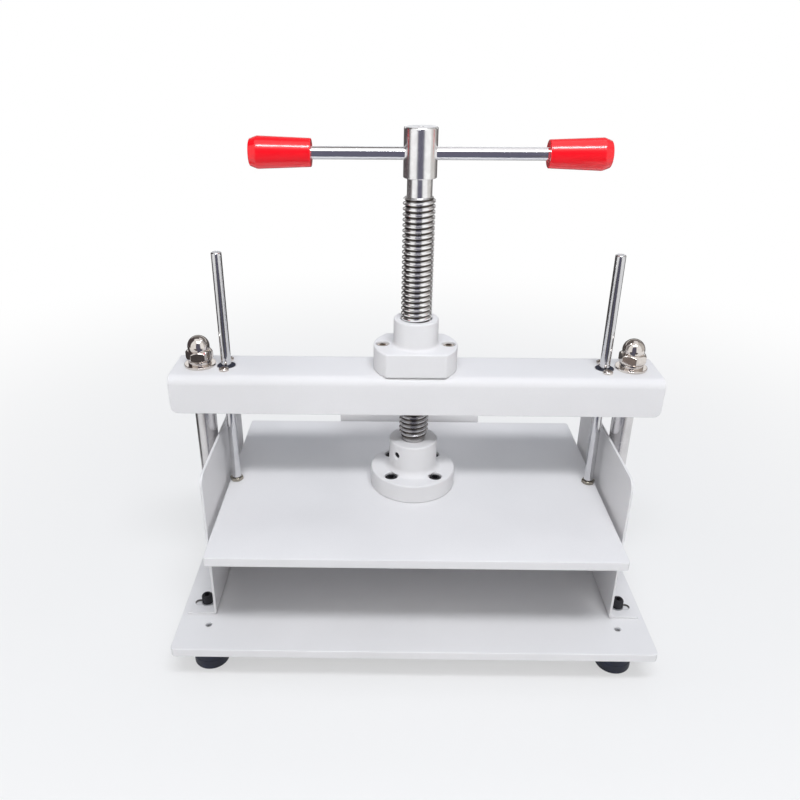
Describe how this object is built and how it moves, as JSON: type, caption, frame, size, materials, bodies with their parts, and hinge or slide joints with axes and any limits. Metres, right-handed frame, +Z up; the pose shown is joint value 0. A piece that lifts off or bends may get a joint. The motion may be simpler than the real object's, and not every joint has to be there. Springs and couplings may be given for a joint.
{
  "type": "hand screw press",
  "caption": "Hand screw press for flattening paper: base plate, posts, crossbeam with nut, bright screw with a sliding bar handle, rod-guided platen and adjustable sheet guides.",
  "frame": {"origin": "on the floor, under the middle of the base plate", "axes": "+X to the right as seen from the front, +Y to the rear, +Z up along the press screw"},
  "size_m": [0.388, 0.26, 0.4073],
  "materials": {
    "grey_paint": "satin light grey powder coat",
    "rubber": "matt black rubber",
    "plated_steel": "zinc plated",
    "ground_steel": "ground",
    "polished_steel": "polished",
    "screw_steel": "turned bright, lightly oiled",
    "nickel": "polished nickel plate",
    "black_steel": "black oxide",
    "bronze": "turned bronze",
    "red_plastic": "glossy red"
  },
  "bodies": {
    "frame": {"base_plate": "grey_paint", "front_left_foot": "rubber", "front_right_foot": "rubber", "rear_left_foot": "rubber", "rear_right_foot": "rubber", "foot_screws": "plated_steel", "foot_washers": "plated_steel", "left_post": "ground_steel", "right_post": "ground_steel", "post_bolts": "plated_steel", "post_bolt_washers": "plated_steel", "crossbeam": "grey_paint", "cap_nut_washers": "nickel", "cap_nut_lock_washers": "nickel", "left_cap_nut": "nickel", "right_cap_nut": "nickel", "screw_nut": "grey_paint", "screw_nut_bolts": "nickel", "left_rod_bearing": "ground_steel", "right_rod_bearing": "ground_steel", "bearing_seals": "rubber", "bearing_screws": "nickel", "guide_bolts": "black_steel", "guide_lock_washers": "black_steel", "guide_washers": "plated_steel"},
    "press_plate": {"platen": "grey_paint", "hub_flange": "grey_paint", "hub_bolts": "black_steel", "hub_grub_screw": "black_steel", "thrust_washer": "bronze", "left_guide_rod": "polished_steel", "right_guide_rod": "polished_steel", "rod_jam_nuts": "nickel"},
    "screw": {"press_screw": "screw_steel"},
    "handle": {"handle_bar": "polished_steel", "left_grip": "red_plastic", "right_grip": "red_plastic"},
    "left_paper_guide": {"left_guide": "grey_paint"},
    "right_paper_guide": {"right_guide": "grey_paint"},
    "rear_paper_guide": {"rear_guide": "grey_paint"}
  },
  "joints": [
    {"name": "platen_lift", "type": "slide", "parent": "frame", "child": "press_plate", "axis": [0, 0, 1], "range_m": [-0.0745, 0.0311]},
    {"name": "screw_turn", "type": "hinge", "parent": "press_plate", "child": "screw", "pos_m": [0, -0.0124, 0.3], "axis": [0, 0, 1], "range_deg": [-6696, 2790]},
    {"name": "bar_slide", "type": "slide", "parent": "screw", "child": "handle", "axis": [1, 0, 0], "range_m": [-0.078, 0.065]},
    {"name": "left_guide_adjust", "type": "slide", "parent": "frame", "child": "left_paper_guide", "axis": [1, 0, 0], "range_m": [-0.0014, 0.0025]},
    {"name": "right_guide_adjust", "type": "slide", "parent": "frame", "child": "right_paper_guide", "axis": [-1, 0, 0], "range_m": [-0.0014, 0.0025]},
    {"name": "rear_guide_adjust", "type": "slide", "parent": "frame", "child": "rear_paper_guide", "axis": [0, -1, 0], "range_m": [-0.0014, 0.0025]}
  ],
  "couplings": [
    {"joint": "platen_lift", "follows": "screw_turn", "m_per_rad": 0.00063662}
  ]
}
